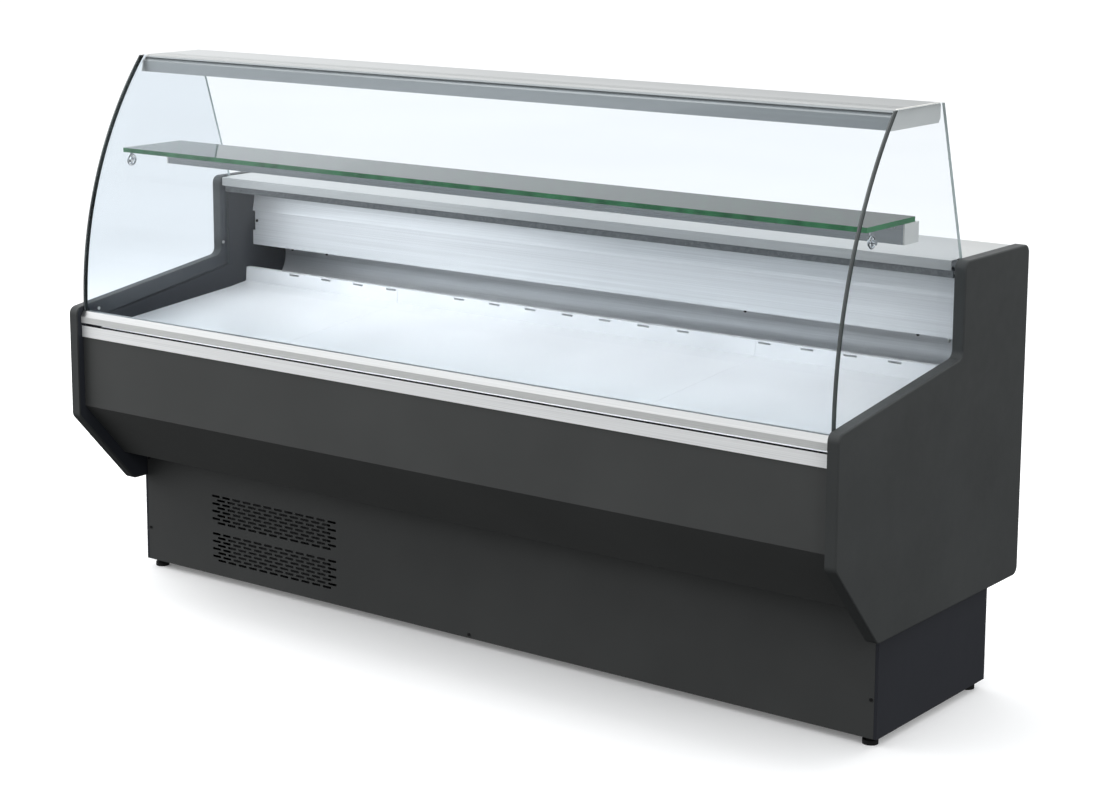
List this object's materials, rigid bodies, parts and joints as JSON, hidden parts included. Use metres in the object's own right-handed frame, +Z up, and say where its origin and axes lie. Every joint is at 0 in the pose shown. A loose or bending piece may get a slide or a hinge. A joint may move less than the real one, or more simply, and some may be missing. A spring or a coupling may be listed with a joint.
{
  "type": "refrigerated deli case",
  "caption": "Long serve-over refrigerated deli case: curved tilting front glass, glass side panes, slim canopy, glass shelf, sloping deck, dark end panels and a recessed plinth.",
  "frame": {"origin": "on the floor, under the middle of the bounding box", "axes": "+X along the counter to the right as a customer sees it, +Y from the customer side to the service side, +Z up"},
  "size_m": [2.05, 0.75, 1.236],
  "materials": {
    "charcoal_abs": "satin",
    "charcoal_liner": "satin",
    "charcoal_steel": "satin",
    "blue_black_steel": "satin",
    "galvanised": "matt spangle",
    "stainless": "brushed",
    "white_steel": "satin",
    "aluminium": "anodised satin",
    "matt_aluminium": "matt anodised",
    "interior_steel": "fine brushed",
    "clear_glass": "polished",
    "shelf_glass": "polished",
    "foam": "matt",
    "dark_board": "satin",
    "black_fins": "satin",
    "cap_plastic": "satin",
    "chrome": "polished",
    "black_rubber": "matt",
    "black_paint": "gloss",
    "copper": "drawn",
    "coil_fins": "bare",
    "fan_plastic": "satin",
    "light_diffuser": "opal",
    "grey_plastic": "satin",
    "drain_plastic": "satin",
    "button_plastic": "satin",
    "rocker_plastic": "gloss",
    "zinc": "plated"
  },
  "bodies": {
    "cabinet": {"end_panel_left": "charcoal_abs", "end_panel_right": "charcoal_abs", "end_cores": "dark_board", "end_liner_left": "charcoal_liner", "end_liner_right": "charcoal_liner", "side_glass_left": "clear_glass", "side_glass_right": "clear_glass", "tub_shell": "galvanised", "tub_foam": "foam", "tub_skin": "white_steel", "trim_rail": "matt_aluminium", "front_panel": "charcoal_steel", "plinth_front": "charcoal_steel", "plinth_side_left": "blue_black_steel", "plinth_side_right": "blue_black_steel", "plinth_rear": "blue_black_steel", "base_frame": "black_paint", "worktop": "stainless", "worktop_rail": "galvanised", "back_panel": "interior_steel", "air_guide": "interior_steel", "cable_port": "black_rubber", "deck_support": "galvanised", "evaporator_coil": "coil_fins", "fan_plate": "galvanised", "evap_motors": "black_paint", "condenser_coil": "black_fins", "condenser_shroud": "black_paint", "condenser_motor": "black_paint", "compressor": "black_paint", "pipework": "copper", "drain": "drain_plastic", "canopy": "stainless", "canopy_caps": "cap_plastic", "light_strips": "light_diffuser", "shelf_beam": "aluminium", "beam_caps": "cap_plastic", "shelf_brackets": "chrome", "control_box": "grey_plastic", "thermostat": "button_plastic", "screws": "zinc", "cable_gland": "black_rubber"},
    "front_glazing": {"front_glass": "clear_glass", "glass_holder": "aluminium", "glass_pins": "zinc"},
    "shelf": {"shelf_glass": "shelf_glass"},
    "pan_left": {"deck_pan_left": "white_steel"},
    "pan_middle": {"deck_pan_middle": "white_steel"},
    "pan_right": {"deck_pan_right": "white_steel"},
    "condenser_rotor": {"condenser_fan": "fan_plastic"},
    "evaporator_rotor_left": {"evap_fan_left": "fan_plastic"},
    "evaporator_rotor_right": {"evap_fan_right": "fan_plastic"},
    "levelling_foot_front_left": {"foot_front_left": "black_rubber"},
    "levelling_foot_front_right": {"foot_front_right": "black_rubber"},
    "levelling_foot_rear_left": {"foot_rear_left": "black_rubber"},
    "levelling_foot_rear_right": {"foot_rear_right": "black_rubber"},
    "power_rocker": {"rocker_1": "rocker_plastic"},
    "light_rocker": {"rocker_2": "rocker_plastic"},
    "key_up": {"button_up": "button_plastic"},
    "key_down": {"button_down": "button_plastic"}
  },
  "joints": [
    {"name": "front_glass_tilt", "type": "hinge", "parent": "cabinet", "child": "front_glazing", "pos_m": [0, -0.354, 0.633], "axis": [1, 0, 0], "range_deg": [0, 75]},
    {"name": "shelf_lift", "type": "slide", "parent": "cabinet", "child": "shelf", "axis": [0, 0, 1], "range_m": [0, 0.06]},
    {"name": "pan_left_lift", "type": "slide", "parent": "cabinet", "child": "pan_left", "axis": [0, 0, 1], "range_m": [0, 0.17]},
    {"name": "pan_middle_lift", "type": "slide", "parent": "cabinet", "child": "pan_middle", "axis": [0, 0, 1], "range_m": [0, 0.17]},
    {"name": "pan_right_lift", "type": "slide", "parent": "cabinet", "child": "pan_right", "axis": [0, 0, 1], "range_m": [0, 0.17]},
    {"name": "condenser_fan_spin", "type": "hinge", "parent": "cabinet", "child": "condenser_rotor", "pos_m": [-0.5864, -0.08, 0.135], "axis": [0, 1, 0], "continuous": true},
    {"name": "evaporator_fan_left_spin", "type": "hinge", "parent": "cabinet", "child": "evaporator_rotor_left", "pos_m": [-0.33, -0.033, 0.4294], "axis": [0, 1, 0], "continuous": true},
    {"name": "evaporator_fan_right_spin", "type": "hinge", "parent": "cabinet", "child": "evaporator_rotor_right", "pos_m": [0.33, -0.033, 0.4294], "axis": [0, 1, 0], "continuous": true},
    {"name": "foot_front_left_turn", "type": "hinge", "parent": "cabinet", "child": "levelling_foot_front_left", "pos_m": [-0.9775, -0.1435, 0.02], "axis": [0, 0, 1], "continuous": true},
    {"name": "foot_rear_left_turn", "type": "hinge", "parent": "cabinet", "child": "levelling_foot_rear_left", "pos_m": [-0.9775, 0.2575, 0.02], "axis": [0, 0, 1], "continuous": true},
    {"name": "foot_front_right_turn", "type": "hinge", "parent": "cabinet", "child": "levelling_foot_front_right", "pos_m": [0.9775, -0.1435, 0.02], "axis": [0, 0, 1], "continuous": true},
    {"name": "foot_rear_right_turn", "type": "hinge", "parent": "cabinet", "child": "levelling_foot_rear_right", "pos_m": [0.9775, 0.2575, 0.02], "axis": [0, 0, 1], "continuous": true},
    {"name": "power_switch", "type": "hinge", "parent": "cabinet", "child": "power_rocker", "pos_m": [-0.615, 0.365, 0.82], "axis": [1, 0, 0], "range_deg": [-10, 10]},
    {"name": "light_switch", "type": "hinge", "parent": "cabinet", "child": "light_rocker", "pos_m": [-0.565, 0.365, 0.82], "axis": [1, 0, 0], "range_deg": [-10, 10]},
    {"name": "key_up_press", "type": "slide", "parent": "cabinet", "child": "key_up", "axis": [0, -1, 0], "range_m": [0, 0.0008], "stiffness_N_per_m": 400, "springref_m": -0.0005},
    {"name": "key_down_press", "type": "slide", "parent": "cabinet", "child": "key_down", "axis": [0, -1, 0], "range_m": [0, 0.0008], "stiffness_N_per_m": 400, "springref_m": -0.0005}
  ]
}
